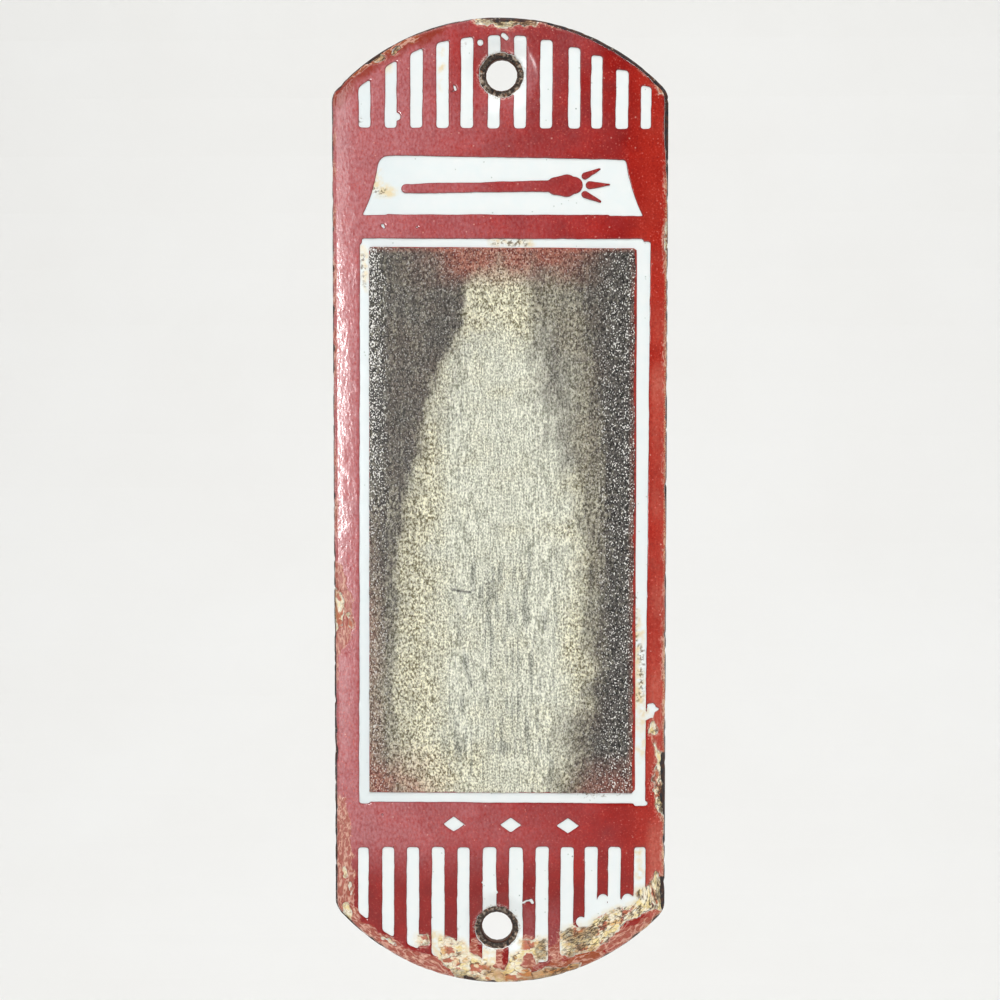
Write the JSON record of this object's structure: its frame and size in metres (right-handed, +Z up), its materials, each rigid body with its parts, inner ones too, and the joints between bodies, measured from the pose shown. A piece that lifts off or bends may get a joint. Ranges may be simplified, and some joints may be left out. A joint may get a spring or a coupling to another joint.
{
  "type": "match striker",
  "caption": "Wall-mounted match striker: an oblong enamelled iron plate with arched ends, striped borders, a blank label and a framed striking surface, fixed by a screw at each end.",
  "frame": {"origin": "centre of the plate's outline, on the plane of the wall that it hangs on", "axes": "+Z up along the plate, +X to the right as seen from the front, +Y into the wall; the face looks towards -Y"},
  "size_m": [0.044, 0.0038, 0.127],
  "materials": {
    "sheet_iron": "rusted where it is bare",
    "ground_enamel": "dark glossy vitreous ground enamel",
    "white_enamel": "glossy white vitreous enamel with fine specks",
    "red_enamel": "glossy red vitreous enamel, worn at the rim",
    "panel_enamel": "red vitreous enamel, rubbed dull",
    "striking_grit": "coarse fused grit, worn pale by matches"
  },
  "bodies": {
    "root": {"iron_plate": "sheet_iron", "ground_coat": "ground_enamel", "white_coat": "white_enamel", "red_coat": "red_enamel", "panel_coat": "panel_enamel", "striking_surface": "striking_grit"}
  },
  "joints": []
}
